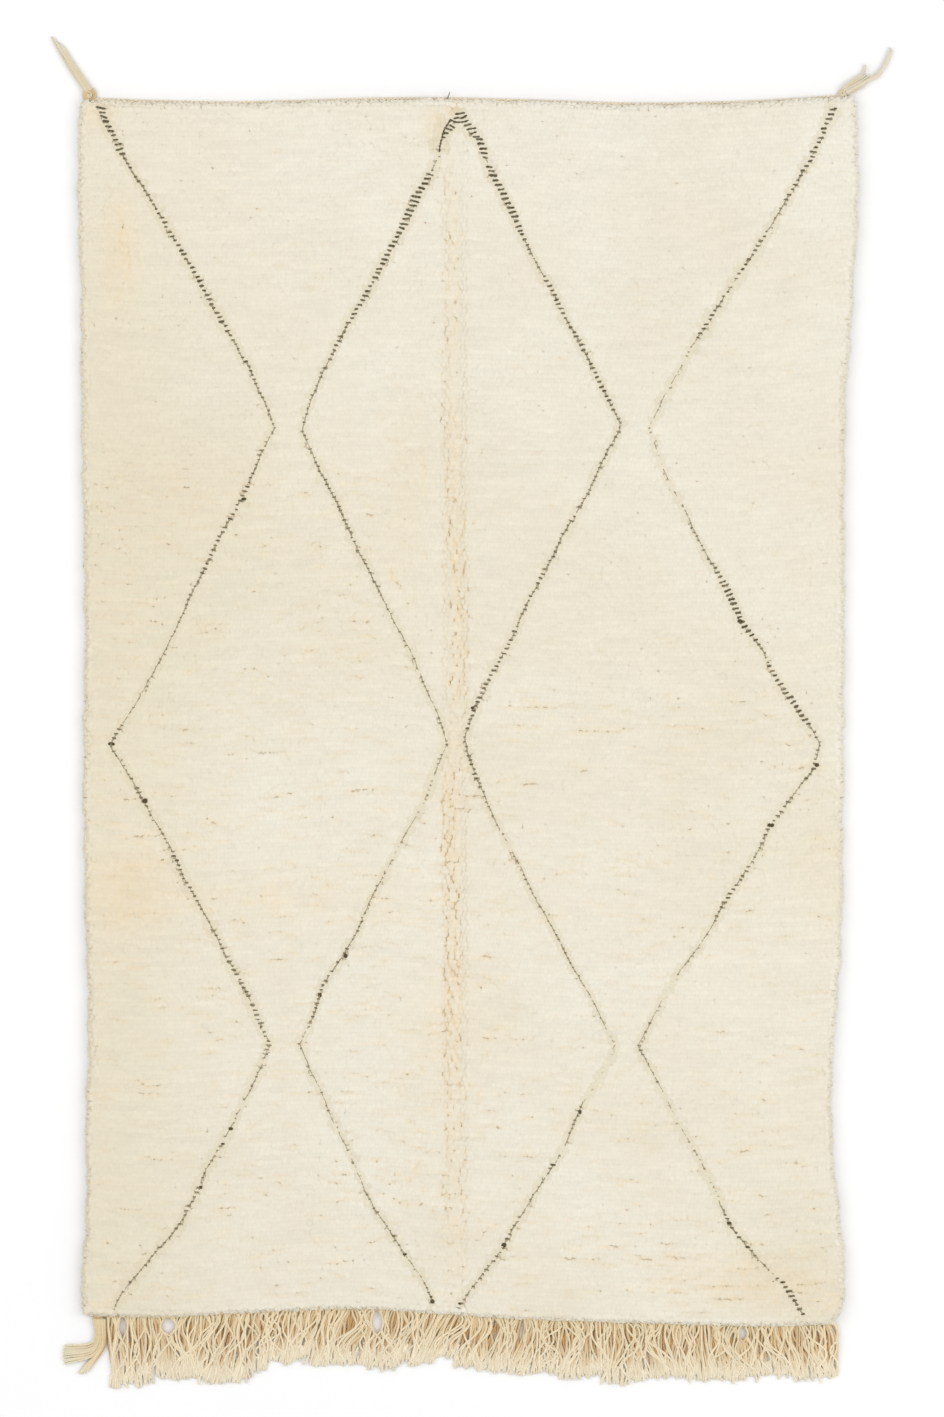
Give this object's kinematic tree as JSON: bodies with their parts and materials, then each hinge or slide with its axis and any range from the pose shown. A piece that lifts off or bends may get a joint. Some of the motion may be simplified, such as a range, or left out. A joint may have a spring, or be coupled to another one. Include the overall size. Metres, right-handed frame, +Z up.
{
  "type": "hand-knotted wool pile rug with a fringed end",
  "caption": "Cream wool pile rug lying flat, with dark zigzag lines that form diamonds, a braided end with corner ties, and a knotted warp fringe at the other end.",
  "frame": {"origin": "centre of the bounding box, on the floor plane that the rug lies on", "axes": "+Z up out of the pile, +Y along the rug's length towards its braided end, +X to the right when the fringe is nearest"},
  "size_m": [1.6795, 2.7059, 0.0249],
  "materials": {
    "cream_wool_pile": "matte",
    "charcoal_wool_pile": "matte",
    "tan_wool_braid": "matte",
    "warp_fringe_wool": "matte",
    "corner_tie_wool": "matte"
  },
  "bodies": {
    "root": {"rug_pile_body": "cream_wool_pile", "top_end_braid": "tan_wool_braid", "fringe": "warp_fringe_wool", "left_tie": "corner_tie_wool", "right_tie": "corner_tie_wool", "corner_tassel": "warp_fringe_wool"}
  },
  "joints": []
}
